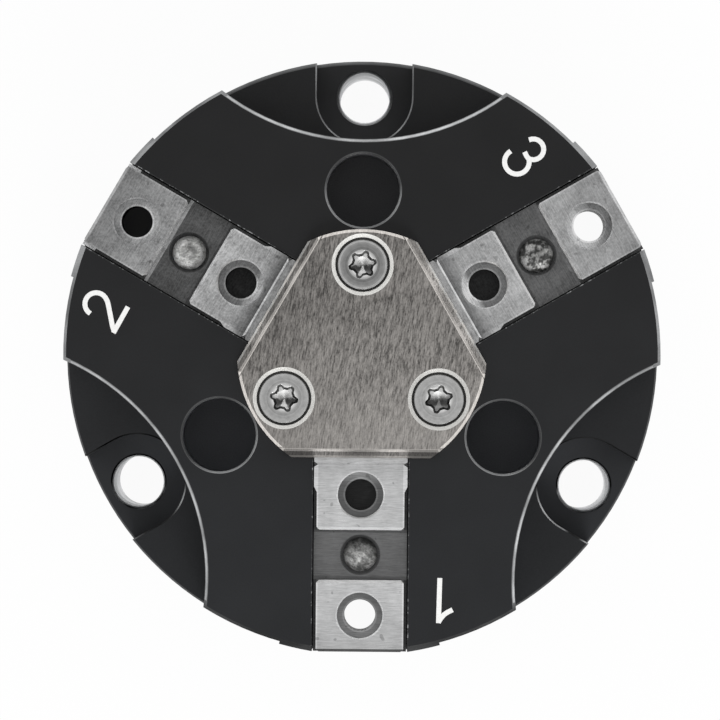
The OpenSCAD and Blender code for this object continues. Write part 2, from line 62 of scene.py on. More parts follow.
# Sizes that the looks follow, in millimetres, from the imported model
FACE_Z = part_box("housing")[1].z / MM
BODY_R = 52.5
MOUNT_R = 46.0
MOUNT_HOLE_R = 4.5
POCKET_Z = 36.5
RELIEF_AT = 28.8
RELIEF_R = 6.45
SLOT_HALF = 8.4
GUIDE_Z = 42.0
PLATE_SCREW_AT = 15.7
PLATE_FLAT = 18.2
BEVEL_W = 1.5
SINK_R = 5.45
PAD_HALF = 7.7
PAD_END, JAW_END = 19.4, 52.3
SEAT_Z = 62.0
SCREW_IN, SCREW_OUT = 24.7, 45.9
THREAD_R = 2.75
NIPPLE_AT = 35.3
GROOVE_HALF = 4.4
GROOVE_IN, GROOVE_OUT = NIPPLE_AT - GROOVE_HALF, NIPPLE_AT + GROOVE_HALF

# Heights above the base, in metres, that part the model's levels from each other
FACE_FROM = 0.0638  # the housing's top face lies above it
PADS_FROM = 0.0637  # the jaws' pads
TONGUE_FROM = 0.0625  # the tongues under the cover plate
SEATS_FROM = 0.0610  # the round seats
GROOVE_FROM = 0.0595  # the cross grooves
SCALLOPS_TO = 0.05  # the scallops' floors and their pockets lie below it


def round_the_axis(radius, angles):
    """Points at one distance from the axis, given in millimetres, in metres."""
    return [(radius * MM * math.cos(math.radians(a)), radius * MM * math.sin(math.radians(a))) for a in angles]


# ---------------------------------------------------------------- materials

class Graph:
    """One node tree, with short calls that add nodes to it. Any value may be a number or a socket."""

    def __init__(self, tree):
        self.nodes = tree.nodes
        self.links = tree.links

    def put(self, socket, value):
        if isinstance(value, bpy.types.NodeSocket):
            self.links.new(value, socket)
        else:
            socket.default_value = value

    def node(self, kind, *values):
        """A new node, with its first inputs given in their order."""
        node = self.nodes.new(f"ShaderNode{kind}")
        for socket, value in zip(node.inputs, values):
            self.put(socket, value)
        return node

    def math(self, operation, *values):
        node = self.node("Math", *values)
        node.operation = operation
        return node.outputs[0]

    def chain(self, operation, first, others):
        for value in others:
            first = self.math(operation, first, value)
        return first

    def plus(self, first, *others):
        return self.chain("ADD", first, others)

    def minus(self, first, second):
        return self.math("SUBTRACT", first, second)

    def times(self, first, *others):
        """Product of values; of masks, 1 where all of them are 1."""
        return self.chain("MULTIPLY", first, others)

    def most(self, first, *others):
        """Largest of values; of masks, 1 where any of them is 1."""
        return self.chain("MAXIMUM", first, others)

    def absolute(self, value):
        return self.math("ABSOLUTE", value)

    def length(self, x, y):
        return self.math("SQRT", self.plus(self.times(x, x), self.times(y, y)))

    def under(self, value, limit):
        return self.math("LESS_THAN", value, limit)

    def over(self, value, limit):
        return self.math("GREATER_THAN", value, limit)

    def close(self, value, centre, reach):
        """1 where a value is within reach of the centre, 0 elsewhere."""
        return self.math("COMPARE", value, centre, reach)

    def range(self, value, low, high, out_low=0.0, out_high=1.0, smooth=False):
        node = self.node("MapRange", value, low, high, out_low, out_high)
        node.interpolation_type = "SMOOTHSTEP" if smooth else "LINEAR"
        return node.outputs[0]

    def pick(self, mask, without, within):
        """One value where the mask is 0 and the other where it is 1."""
        return self.range(mask, 0, 1, without, within)

    def blend(self, *shares):
        """Sum of values, each times its share."""
        return self.plus(*(self.times(value, share) for value, share in shares))

    def split(self, vector):
        return self.node("SeparateXYZ", vector).outputs


class Finish(Graph):
    """One procedural material, laid out in the object's own coordinates."""

    def __init__(self, name, metallic=0.0, roughness=0.5, specular=0.5):
        self.material = bpy.data.materials.new(name)
        self.material.use_nodes = True
        super().__init__(self.material.node_tree)
        self.shader = self.nodes["Principled BSDF"]
        self.shader.inputs["Metallic"].default_value = metallic
        self.shader.inputs["Roughness"].default_value = roughness
        self.shader.inputs["Specular IOR Level"].default_value = specular

    def place(self, turn=0.0, stretch=(1, 1, 1)):
        """The point on the object, turned about Z by -turn degrees and then stretched."""
        where = self.node("TexCoord").outputs["Object"]
        for rotation, scale in (((0, 0, math.radians(-turn)), (1, 1, 1)), ((0, 0, 0), stretch)):
            node = self.node("Mapping", where)
            node.inputs["Rotation"].default_value = rotation
            node.inputs["Scale"].default_value = scale
            where = node.outputs[0]
        return where

    def height(self):
        """Height above the base, in metres, with the node at rest."""
        return self.split(self.place())[2]

    def slope(self):
        """How far the surface faces up or down: 1 level, 0 upright."""
        return self.absolute(self.split(self.node("NewGeometry").outputs["True Normal"])[2])

    def level(self):
        """1 on level faces, 0 elsewhere."""
        return self.over(self.slope(), 0.9)

    def chamfer(self):
        """1 on faces that lean at 45 degrees, 0 elsewhere."""
        return self.close(self.slope(), 0.707, 0.06)

    def distance(self, points):
        """Distance from the nearest of some upright axes, in metres."""
        x, y = self.split(self.place())[:2]
        nearest = None
        for px, py in points:
            away = self.length(self.minus(x, px), self.minus(y, py))
            nearest = away if nearest is None else self.math("MINIMUM", nearest, away)
        return nearest

    def noise(self, where, size, detail=2.0, roughness=0.5):
        """Noise whose blotches are about size metres across."""
        node = self.node("TexNoise", where)
        node.inputs["Scale"].default_value = 1 / size
        node.inputs["Detail"].default_value = detail
        node.inputs["Roughness"].default_value = roughness
        return node.outputs[0]

    def rings(self, pitch):
        """Turning marks: fine lines at one distance round the Z axis, uneven in depth."""
        x, y, z = self.split(self.place())
        where = self.node("CombineXYZ", self.length(x, y), self.times(z, 0.7))
        return self.noise(where.outputs[0], pitch, 2.0, 0.6)

    def mix(self, factor, first, second):
        node = self.node("Mix", factor)
        node.data_type = "RGBA"
        self.put(node.inputs[6], first)
        self.put(node.inputs[7], second)
        return node.outputs[2]

    def scaled(self, colour, factor):
        """A colour times a number that varies over the surface."""
        node = self.node("VectorMath", colour if isinstance(colour, bpy.types.NodeSocket) else colour[:3])
        node.operation = "SCALE"
        self.put(node.inputs["Scale"], factor)
        return node.outputs[0]

    def bump(self, height, distance, strength=1.0, under=None):
        node = self.node("Bump")
        node.inputs["Strength"].default_value = strength
        node.inputs["Distance"].default_value = distance
        self.put(node.inputs["Height"], height)
        if under is not None:
            self.links.new(under, node.inputs["Normal"])
        return node.outputs[0]

    def use(self, **values):
        names = {"colour": "Base Color", "roughness": "Roughness", "metallic": "Metallic", "normal": "Normal"}
        for name, value in values.items():
            self.put(self.shader.inputs[names[name]], value)
        return self.material


def black_skin_with_painted_light(f, face, fine):
    """Anodised colour, with painted light that makes the milled floors, the screw pockets and the blind bores paler
    and the top face lighter towards its front.
    """
    broad = f.noise(f.place(), 0.012, 2.0)
    x, y, height = f.split(f.place())
    tone = f.range(f.blend((fine, 0.55), (broad, 0.45)), 0.3, 0.7, 0.78, 1.22)
    # painted light: paler low down on the milled floors, in the screw pockets and down the blind bores, and the top
    # face lighter towards its front
    floors = f.range(height, 0.0455, 0.0635, 1.3, 1.0)
    face_tone = f.pick(f.over(height, FACE_FROM), 1.0, f.range(y, -0.035, 0.035, 1.14, 0.78))
    pocket_gain = f.range(f.length(x, y), 0.038, 0.047, 2.7, 1.45)
    pockets = f.range(height, (POCKET_Z + 0.5) * MM, 0.0440, pocket_gain, 1.0)
    relief = f.distance(round_the_axis(RELIEF_AT, LOBE_ANGLES))
    bores = f.times(f.under(relief, (RELIEF_R + 0.15) * MM), f.under(height, FACE_FROM))
    tone = f.times(tone, floors, face_tone, pockets, f.pick(bores, 1.0, 7.4))
    cool = (face[0], face[1] * 1.05, face[2] * 1.10, 1)
    return f.scaled(f.mix(f.range(y, -0.03, 0.03), cool, face), tone)


def relief_ring_light(f, x, y):
    """Tone of the bare rings round the blind bores: bright towards the plate and the front."""
    total = 0.0
    to_front = 1.07
    for px, py in round_the_axis(RELIEF_AT, LOBE_ANGLES):
        dx, dy = f.minus(x, px), f.minus(y, py)
        lean_x, lean_y = -px / (RELIEF_AT * MM), -py / (RELIEF_AT * MM) - to_front
        lean = f.blend((dx, lean_x), (dy, lean_y))
        lit = f.range(lean, -0.004, 0.004, 0.34, 0.85, smooth=True)
        total = f.plus(total, f.times(f.under(f.length(dx, dy), 0.009), lit))
    return total


def slot_edges(f):
    """1 on the thin strips of the top face along the jaw slots, 0 elsewhere."""
    mask = 0.0
    for angle in JAW_ANGLES:
        along, across = f.split(f.place(angle))[:2]
        strip = f.close(f.absolute(across), (SLOT_HALF + 0.08) * MM, 0.00009)
        mask = f.most(mask, f.times(strip, f.over(along, 0.0185)))
    return f.times(mask, f.over(f.height(), FACE_FROM), f.level())


def worn_edges_and_painted_light(f, fine):
    """Where the housing is bare metal, and how bright the metal is there, with painted highlights and painted shade
    on it.
    """
    wear = f.noise(f.place(), 0.009, 2.0, 0.6)
    x, y, height = f.split(f.place())
    outside = f.length(x, y)
    behind = f.over(y, 0.0)

    # the outer rim, with painted shade at its front, and the arcs cut into the face, with a painted highlight along
    # their middle, of another strength on the front arcs than at the back
    rim_tone = f.range(y, -0.045, -0.042, 0.13, 0.75)
    core = f.range(f.absolute(f.minus(height, (FACE_Z - 0.3) * MM)), 0.00012, 0.00026, 1.0, 0.3)
    front_arc = f.range(height, (FACE_Z - 0.6) * MM, FACE_Z * MM, 2.0, 0.6)
    arc_tone = f.times(f.pick(behind, front_arc, 1.55), core)
    bright = f.pick(f.over(outside, (BODY_R - 1.3) * MM), arc_tone, rim_tone)

    # the screw pockets' edges, broken by wear, with painted shade that fades them towards the plate and a steady
    # painted highlight at the back
    patches = f.times(f.range(outside, 0.0385, 0.0425, 0.1, 1.0), f.range(wear, 0.42, 0.52, 0.15, 1.2))
    patches = f.times(patches, f.range(y, -0.0245, -0.0230, 1.0, 0.05))
    patches = f.most(patches, f.times(behind, f.range(outside, 0.0385, 0.0405, 0.3, 0.85)))
    bright = f.pick(f.under(height, SCALLOPS_TO), bright, patches)
    uneven = f.times(f.range(wear, 0.36, 0.64, 0.6, 1.35), f.range(fine, 0.3, 0.7, 0.8, 1.15))
    bright = f.times(bright, uneven)

    # the rings round the blind bores, with painted light that is brighter towards the plate and the front
    relief = f.distance(round_the_axis(RELIEF_AT, LOBE_ANGLES))
    ring = f.times(f.over(relief, (RELIEF_R - 0.01) * MM), f.under(relief, (RELIEF_R + 0.35) * MM))
    ring = f.times(ring, f.over(height, (FACE_Z - 0.4) * MM))
    ring_tone = f.times(relief_ring_light(f, x, y), f.range(wear, 0.36, 0.64, 0.7, 1.2))
    bright = f.pick(ring, bright, ring_tone)

    # the outermost lip of the lower steps, broader at the back
    back = f.over(y, 0.040)
    lip_from = f.pick(back, (BODY_R - 0.3) * MM, (BODY_R - 0.62) * MM)
    lip = f.times(f.over(outside, lip_from), f.level(), f.under(height, (FACE_Z - 1) * MM))
    lip_rise = f.range(outside, (BODY_R - 0.62) * MM, (BODY_R - 0.2) * MM, 0.3, 0.75)
    lip_tone = f.times(f.range(wear, 0.36, 0.64, 0.7, 1.1), lip_rise)
    bright = f.pick(lip, bright, f.pick(back, 0.4, lip_tone))

    # specks where the slots' edges lost their colour
    slot = slot_edges(f)
    chips = f.range(f.noise(f.place(), 0.0008, 3.0, 0.75), 0.54, 0.64, 0.16, 1.4)
    bright = f.pick(slot, bright, chips)
    specks = f.times(slot, f.range(wear, 0.4, 0.6, 0.35, 0.8))

    # the mounting holes' walls
    mount = f.distance(round_the_axis(MOUNT_R, LOBE_ANGLES))
    hole = f.times(f.under(mount, (MOUNT_HOLE_R + 0.3) * MM), f.under(height, (POCKET_Z - 0.3) * MM))
    bright = f.pick(hole, bright, f.times(uneven, 2.2))
    return f.most(f.chamfer(), lip, ring, hole, specks), bright


def anodised(name, face, bare_tone):
    """Black anodised aluminium: bare on the worn edges, the jaw guides and in the mounting holes."""
    f = Finish(name, roughness=0.42, specular=0.2)
    fine = f.noise(f.place(), 0.00022, 3.0, 0.6)
    guide = f.times(f.close(f.height(), GUIDE_Z * MM, 0.0003), f.level())
    skin = f.mix(guide, black_skin_with_painted_light(f, face, fine), bare_tone)
    bare, bright = worn_edges_and_painted_light(f, fine)
    return f.use(
        colour=f.mix(bare, skin, f.scaled(bare_tone, bright)),
        metallic=bare,
        roughness=f.range(fine, 0.25, 0.75, 0.36, 0.5),
        normal=f.bump(fine, 0.000012),
    )


def jaw_faces(f, turn, look):
    """Tone of a jaw's level faces: pads, tongue, round seats and cross groove, with painted light and shade that
    differ from jaw to jaw.
    """
    x, _, height = f.split(f.place(turn))
    outer_half = f.over(x, 0.5 * (SCREW_IN + SCREW_OUT) * MM)
    inner_pad = f.range(x, 0.0220, 0.0305, *look["inner_pad"])
    outer_pad = f.range(x, 0.0395, 0.0515, *look["outer_pad"])
    tone = f.pick(outer_half, inner_pad, outer_pad)
    # across each round seat the light changes beside its thread
    from_screw = f.minus(x, f.pick(outer_half, SCREW_IN * MM, SCREW_OUT * MM))
    seat = f.range(
        from_screw,
        f.pick(outer_half, -0.0041, -0.003),
        f.pick(outer_half, -0.0014, 0.003),
        f.pick(outer_half, look["inner_seat"][0], look["outer_seat"][0]),
        f.pick(outer_half, look["inner_seat"][1], look["outer_seat"][1]),
        smooth=True,
    )
    for top, lower in ((PADS_FROM, look["tongue"]), (TONGUE_FROM, seat), (SEATS_FROM, look["groove"])):
        tone = f.pick(f.under(height, top), tone, lower)
    return tone


def jaw_edges(f, turn, look):
    """How much brighter or darker a jaw is along its edges, on its steps and beside the cover plate: painted light
    and shade.
    """
    x, y, height = f.split(f.place(turn))
    across = f.absolute(y)
    shown = f.over(height, GROOVE_FROM)
    on_pad = f.over(height, PADS_FROM)
    sunk = f.times(shown, f.under(height, PADS_FROM))
    chamfer = f.chamfer()
    side_edge = f.times(f.over(across, (PAD_HALF - 0.25) * MM), on_pad)
    beside_groove = f.over(f.absolute(f.minus(x, NIPPLE_AT * MM)), GROOVE_HALF * MM)
    side_step = f.times(f.over(across, (PAD_HALF - 0.05) * MM), sunk, beside_groove, f.over(x, (PAD_END + 1) * MM))
    # behind a painted bright line the inner pad has painted shade from the cover plate
    shade = f.range(x, (PAD_END + 0.4) * MM, (PAD_END + 3.2) * MM, look["shade"], 1.0)
    gain = f.pick(f.times(f.over(x, PAD_END * MM), shown), 1.0, shade)
    line = f.times(f.close(x, (PAD_END + 0.15) * MM, 0.00016), shown)
    gain = f.pick(line, gain, look["line"])
    for mask, more in (
        (f.most(side_edge, chamfer), 1.3),
        (side_step, 0.075 / look["groove"]),
        (f.times(side_step, f.over(x, (JAW_END - 2.5) * MM)), look["corner"]),
        (f.times(f.close(x, (GROOVE_IN - 0.17) * MM, 0.00018), on_pad), look["groove_lip"]),
        (f.times(f.close(x, (GROOVE_IN + 0.25) * MM, 0.00025), sunk), 0.65),
        (f.times(f.close(x, (GROOVE_OUT - 0.3) * MM, 0.0003), sunk), look["groove_wall"]),
        (f.times(f.over(x, (JAW_END - 1.2) * MM), chamfer), look["end_chamfer"]),
    ):
        gain = f.times(gain, f.pick(mask, 1.0, more))
    return gain


def jaw_holes(f, turn, look):
    """Painted light at the mouths of a jaw's threads, painted shade down their turns, and painted shade round its
    nipple.
    """
    height = f.height()
    threads = f.distance([round_the_axis(r, (turn,))[0] for r in (SCREW_IN, SCREW_OUT)])
    round_mouth = f.under(threads, (THREAD_R + 0.3) * MM)
    mouth = f.times(round_mouth, f.over(height, (SEAT_Z - 0.1) * MM), f.under(height, TONGUE_FROM))
    thread = f.times(f.under(threads, (THREAD_R + 0.04) * MM), f.under(height, (SEAT_Z - 0.05) * MM))
    coil = f.range(f.math("FRACT", f.times(height, 1000)), 0.0, 1.0, 0.7, 1.0)
    nipple = f.distance(round_the_axis(NIPPLE_AT, (turn,)))
    return f.times(
        f.pick(mouth, 1.0, 1.5),
        f.pick(f.times(thread, coil), 1.0, 0.018 / look["groove"]),
        f.range(nipple, 0.0033, 0.0036, 0.45, 1.0),
    )


def ground_steel(name, turn, look):
    """Ground jaw steel: lines across the jaw with clouds, grit and pits, on tones with painted light and shade."""
    f = Finish(name, metallic=1.0)
    lines = f.noise(f.place(turn, (14, 1, 1)), 0.0022, 3.0, 0.7)
    cloud = f.noise(f.place(turn, (1, 1.6, 1)), 0.0045, 2.0)
    grit = f.noise(f.place(), 0.0004, 3.0, 0.7)
    pits = f.range(f.noise(f.place(), 0.0011, 0.0), 0.78, 0.82, 1.0, 0.66)
    pattern = f.range(f.blend((lines, 0.75 - look["grit"]), (cloud, 0.25), (grit, look["grit"])), 0.34, 0.66)
    marks = f.times(f.pick(pattern, 1 - look["contrast"], 1 + look["contrast"]), pits)
    tone = f.times(jaw_faces(f, turn, look), jaw_edges(f, turn, look), jaw_holes(f, turn, look), marks)
    return f.use(
        colour=f.scaled((0.99, 0.995, 1.0, 1), tone),
        roughness=f.pick(pattern, 0.34, 0.27),
        normal=f.bump(lines, 0.000008, 0.8, f.bump(grit, 0.000004)),
    )


def brushed_plate(name, face):
    """Brushed cover plate: short uneven grain close to the Y direction, painted highlights along its edges, and
    painted light and shade on its bevels and sinks.
    """
    f = Finish(name, metallic=1.0)
    grain = f.noise(f.place(-9, (6.5, 1, 1)), 0.0017, 2.0, 0.78)
    wave = f.noise(f.place(-11, (3, 1, 1)), 0.0035, 2.0)
    speck = f.noise(f.place(), 0.0003, 2.0)
    cloud = f.noise(f.place(), 0.009, 2.0)
    pattern = f.range(f.blend((grain, 0.62), (speck, 0.16), (wave, 0.12), (cloud, 0.1)), 0.38, 0.62)

    # the face, with weaker grain and less light towards its front
    x, y, height = f.split(f.place())
    weak = f.range(y, -0.014, -0.002, 0.54, 0.32)
    strong = f.range(y, -0.014, -0.002, 1.46, 1.66)
    across = f.range(x, -0.014, 0.0, 0.84, 1.0)
    tone = f.times(f.pick(pattern, weak, strong), f.range(y, -0.014, 0.008, 1.18, 0.84), across)

    # the bevels of the three flats, with painted shade on the front one and painted light on the others, and
    # painted highlights on both their sides and on the arcs
    reach = f.most(*(f.split(f.place(angle))[0] for angle in JAW_ANGLES))
    screw = f.distance(round_the_axis(PLATE_SCREW_AT, LOBE_ANGLES))
    tilted = f.under(f.slope(), 0.97)
    sink = f.under(screw, (SINK_R + 0.05) * MM)
    front = f.under(y, -0.0155)
    bevel = f.times(tilted, f.over(reach, (PLATE_FLAT - BEVEL_W) * MM))
    bevel_gain = f.pick(front, f.range(x, -0.008, 0.008, 1.65, 2.3), 0.5)
    tone = f.times(tone, f.pick(bevel, 1.0, bevel_gain))
    inner_line = f.close(reach, (PLATE_FLAT - BEVEL_W + 0.16) * MM, 0.00026)
    outer_line = f.times(f.over(reach, (PLATE_FLAT - 0.36) * MM), f.over(height, FACE_Z * MM))
    arc_edge = f.times(tilted, f.under(reach, (PLATE_FLAT - BEVEL_W - 0.3) * MM), f.minus(1.0, sink))
    for mask, bright in (
        (inner_line, f.pick(front, 3.1, 1.9)),
        (outer_line, f.pick(front, 3.6, 1.2)),
        (arc_edge, 2.7),
    ):
        tone = f.pick(mask, tone, f.times(bright, f.pick(pattern, 0.8, 1.05)))

    # the sinks of the three screws, with painted light on their cones and painted shade at their foot
    cone = f.times(sink, tilted)
    cone_gain = f.times(f.range(y, 0.0, 0.012, 1.0, 1.12), f.range(x, 0.004, 0.010, 1.0, 0.9))
    tone = f.pick(cone, tone, f.times(cone_gain, f.range(speck, 0.3, 0.7, 2.7, 3.0)))
    tone = f.pick(f.times(f.under(screw, (SINK_R - 0.65) * MM), tilted), tone, 0.12)
    cone_face = (face[0], face[1] * 1.04, face[2] * 1.06, 1)
    return f.use(
        colour=f.scaled(f.mix(cone, face, cone_face), tone),
        roughness=f.pick(pattern, 0.44, 0.3),
        normal=f.bump(grain, 0.00002, 1.0),
    )


def spread_of(base, spread):
    """A darker and a lighter colour, both as far from the base colour."""
    return (tuple(c * (1 + way * spread) for c in base[:3]) + (1,) for way in (-1, 1))


def turned(name, base, spread, roughness, pitch=0.00035):
    """Turned metal, with fine rings round the axis."""
    f = Finish(name, metallic=1.0)
    marks = f.rings(pitch)
    tone = f.range(marks, 0.3, 0.7)
    return f.use(
        colour=f.mix(tone, *spread_of(base, spread)),
        roughness=f.pick(tone, roughness + 0.07, roughness - 0.05),
        normal=f.bump(marks, 0.00001, 0.8),
    )


def mottled_metal(name, low, high, size, roughness):
    """Blackened metal with cloudy marks, as on the hidden screws and the circlip."""
    f = Finish(name, metallic=1.0)
    cloud = f.noise(f.place(), size, 3.0, 0.6)
    fine = f.noise(f.place(), size / 6, 2.0)
    tone = f.range(f.blend((cloud, 0.75), (fine, 0.25)), 0.38, 0.62, smooth=True)
    return f.use(
        colour=f.mix(tone, low, high),
        roughness=f.pick(tone, roughness + 0.12, roughness),
        normal=f.bump(fine, 0.00001),
    )


def nipple_steel(name, angle, look):
    """Rough pressed steel of a grease nipple's head, scuffed and a little shiny, with painted light and shade at
    its middle, edge and back half.
    """
    f = Finish(name, metallic=0.55)
    scuff = f.noise(f.place(angle + 50, (1, 2.6, 1)), 0.0011, 4.0, 0.72)
    pits = f.noise(f.place(), 0.0004, 3.0, 0.7)
    patch = f.noise(f.place(), 0.0014, 2.0, 0.6)
    pattern = f.range(f.blend((scuff, 0.62), (pits, 0.38)), 0.36, 0.64)
    spot = round_the_axis(NIPPLE_AT, (angle,))
    y = f.split(f.place())[1]
    tone = f.times(
        f.pick(pattern, 0.4, 1.35),
        f.range(f.distance(spot), 0.001, 0.0026, look["middle"], look["edge"]),
        f.range(patch, 0.42, 0.6, 1 - look["patches"], 1 + look["patches"], smooth=True),
        f.range(f.minus(y, spot[0][1]), -0.0016, 0.0016, 2 - look["back"], look["back"]),
    )
    return f.use(
        colour=f.scaled((0.5, 0.5, 0.49, 1), tone),
        roughness=f.pick(pattern, 0.56, 0.38),
        normal=f.bump(scuff, 0.00012, 0.9, f.bump(pits, 0.00004, 0.8)),
    )


def moulded(name, base, roughness):
    """Rubber or plastic: matt, with a fine moulded skin."""
    f = Finish(name, roughness=roughness, specular=0.35)
    skin = f.noise(f.place(), 0.0004, 3.0, 0.6)
    return f.use(
        colour=f.mix(f.range(skin, 0.3, 0.7), *spread_of(base, 0.25)),
        roughness=f.range(skin, 0.3, 0.7, roughness - 0.08, roughness + 0.08),
        normal=f.bump(skin, 0.00002),
    )


def paint(material, *names):
    """Give one material to the CAD nodes of these names."""
    for name in names:
        slots = NODES[name].material_slots
        if not slots:
            NODES[name].data.materials.append(material)
        for held in slots:
            held.material = material


# Each jaw lies differently in the light, so each has its own painted light and shade. A pair holds the tones at the
# inner and at the outer end.
# Then come the grit's share in the pattern, the pattern's contrast, and the gains of painted light and shade along
# the edges.
JAW_LOOKS = (
    {
        "inner_pad": (0.69, 0.69), "outer_pad": (0.7475, 0.572), "tongue": 0.74, "groove": 0.19,
        "inner_seat": (0.407, 0.15), "outer_seat": (0.1716, 0.275), "grit": 0.1, "contrast": 0.26,
        "groove_lip": 1.1, "groove_wall": 0.75, "line": 0.9, "shade": 0.84, "end_chamfer": 0.1, "corner": 1.0,
    },
    {
        "inner_pad": (0.44, 0.528), "outer_pad": (0.41275, 0.2548), "tongue": 0.36, "groove": 0.12,
        "inner_seat": (1.11, 0.19), "outer_seat": (0.468, 0.34), "grit": 0.4, "contrast": 0.6,
        "groove_lip": 1.2, "groove_wall": 3.0, "line": 1.7, "shade": 0.3, "end_chamfer": 1.0, "corner": 11.0,
    },
    {
        "inner_pad": (0.48, 0.528), "outer_pad": (0.5074, 0.36808), "tongue": 0.48, "groove": 0.16,
        "inner_seat": (1.628, 0.22), "outer_seat": (0.6864, 0.23), "grit": 0.35, "contrast": 0.5,
        "groove_lip": 2.3, "groove_wall": 1.2, "line": 1.8, "shade": 0.4, "end_chamfer": 1.0, "corner": 1.5,
    },
)
# Gains of painted light and shade at a nipple's middle, edge and back half, and the strength of its patches
NIPPLE_LOOKS = (
    {"middle": 0.78, "edge": 1.1, "back": 0.42, "patches": 0.45},
    {"middle": 0.7, "edge": 2.6, "back": 0.85, "patches": 0.25},
    {"middle": 0.38, "edge": 1.5, "back": 0.85, "patches": 0.75},
)

paint(anodised("anodised_black", (0.0136, 0.0137, 0.0144, 1), (0.34, 0.345, 0.35, 1)), "housing")
for number, (angle, jaw, nipple) in enumerate(zip(JAW_ANGLES, JAW_LOOKS, NIPPLE_LOOKS), start=1):
    paint(ground_steel(f"ground_jaw_steel_{number}", angle, jaw), f"base_jaw_{number}")
    paint(nipple_steel(f"nipple_steel_{number}", angle, nipple), f"grease_nipple_{number}")
paint(brushed_plate("brushed_plate_steel", (0.31, 0.295, 0.28, 1)), "cover_plate")
dark_steel = mottled_metal("screw_steel_blackened", (0.03, 0.03, 0.032, 1), (0.11, 0.11, 0.115, 1), 0.0008, 0.38)
paint(dark_steel, "cylinder_cover_screws", "wedge_screw", "partition_circlip")
paint(turned("drive_steel_hardened", (0.3, 0.29, 0.28, 1), 0.16, 0.3, 0.0005), "wedge_hook")
paint(turned("turned_aluminium", (0.66, 0.665, 0.67, 1), 0.1, 0.3), "piston", "partition_plate")
paint(turned("cover_aluminium_turned", (0.52, 0.525, 0.53, 1), 0.08, 0.36, 0.0004), "cylinder_cover")
paint(turned("bush_bronze_turned", (0.48, 0.3, 0.12, 1), 0.15, 0.32), "rod_bush")
paint(moulded("guide_plastic_brown", (0.12, 0.075, 0.035, 1), 0.5), "piston_guide_ring")
rubber = moulded("rubber_black_matt", (0.012, 0.012, 0.012, 1), 0.62)
paint(rubber, "piston_seal", "partition_o_ring", "rod_seal", "cylinder_cover_o_ring", "end_bumper")


# ------------------------------------------------------- numbers by the jaws

PRINT_STROKE = 0.86
PRINT_LIFT = 0.012


def arc(centre, radius, start, end, steps=14):
    """Points on an arc from start to end, in degrees."""
    points = []
    for step in range(steps + 1):
        angle = math.radians(start + (end - start) * step / steps)
        points.append((centre[0] + radius * math.cos(angle), centre[1] + radius * math.sin(angle)))
    return points


NUMBER_STROKES = {  # points of each stroke, from the number's centre, in millimetres
    1: [[(0, -4.08), (0, 3.84)], [(0.04, 3.72), (-0.42, 2.95), (-0.9, 2.35), (-1.5, 1.9), (-2.4, 1.42)]],
    2: [
        arc((0.1, 2.4), 1.98, 178, -12) + [(1.86, 1.5), (1.45, 0.88), (0.8, 0.28), (-1.95, -2.05), (-2.45, -2.6)],
        [(-2.86, -2.72), (2.4, -2.72)],
    ],
    3: [
        arc((-0.1, 1.86), 1.83, 168, -66) + [(0.2, 0.2), (-0.66, 0.36)],
        arc((-0.07, -1.76), 2.17, 66, -187, 20),
    ],
}
# centre of each number from its jaw's line, out from the axis, and its turn in degrees
NUMBER_PLACES = {1: (13.95, 43.3, -1.2), 2: (16.15, 42.3, 1.2), 3: (16.15, 42.1, 7.2)}


def ribbon(bm, points, width, place):
    """A flat stroke of one width along the points, with square ends and mitred bends."""
    rows = []
    for i, point in enumerate(points):
        into = (Vector(point) - Vector(points[max(i - 1, 0)])).normalized() if i else None
        out = (Vector(points[i + 1]) - Vector(point)).normalized() if i + 1 < len(points) else into
        into = into or out
        along = (into + out).normalized()
        mitre = 1 / max(along.dot(out), 0.5)
        side = Vector((-along.y, along.x)) * width / 2 * mitre
        rows.append([bm.verts.new(place(Vector(point) + side * s)) for s in (1, -1)])
    for (a, b), (c, d) in zip(rows, rows[1:]):
        bm.faces.new((a, b, d, c))


def piece_of(name, bm, material):
    """An object made from the mesh code's faces."""
    mesh = bpy.data.meshes.new(name)
    bm.to_mesh(mesh)
    bm.free()
    mesh.materials.append(material)
    piece = bpy.data.objects.new(name, mesh)
    bpy.context.scene.collection.objects.link(piece)
    return piece


def printed_number(number, angle, material):
    tangential, radial, turn = NUMBER_PLACES[number]
    lean = Matrix.Rotation(math.radians(turn), 2)
    outward = Vector((math.cos(math.radians(angle)), math.sin(math.radians(angle))))
    right = Vector((outward.y, -outward.x))

    bm = bmesh.new()
    for layer, points in enumerate(NUMBER_STROKES[number]):
        lift = FACE_Z + PRINT_LIFT * (1 + 0.4 * layer)

        def place(point):
            point = lean @ point
            spot = outward * (radial + point.y) - right * tangential + right * point.x
            return Vector((spot.x, spot.y, lift)) * MM

        ribbon(bm, points, PRINT_STROKE, place)
    bmesh.ops.recalc_face_normals(bm, faces=bm.faces)
    for face in bm.faces:
        if face.normal.z < 0:
            face.normal_flip()
    piece = piece_of(f"jaw_number_{number}", bm, material)
    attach(piece, "body")


def number_ink():
    f = Finish("number_ink_white", roughness=0.55, specular=0.3)
    grain = f.noise(f.place(), 0.0003, 3.0, 0.6)
    return f.use(
        colour=f.mix(f.range(grain, 0.3, 0.7), (0.8, 0.8, 0.79, 1), (0.93, 0.93, 0.92, 1)),
        normal=f.bump(grain, 0.000005),
    )


ink = number_ink()
for number, angle in enumerate(JAW_ANGLES, start=1):
    printed_number(number, angle, ink)


# --------------------------------------------------- cover plate's screws

STEPS = 144
# Lengths in millimetres, with depths from the head's top
HEAD_R = 4.38
HEAD_BEVEL = 0.05
LEAD_R = 2.68
LEAD_DEPTH = 0.22
RECESS_R = 2.6
DRIVE_DEPTH = 1.35
SHANK_R = 2.45
THREAD_PITCH = 0.8
THREAD_CUT = 0.35
THREAD_END, POINT_END = 13.2, 13.9
SMOOTH_ROWS = 3  # of the recess's dished floor


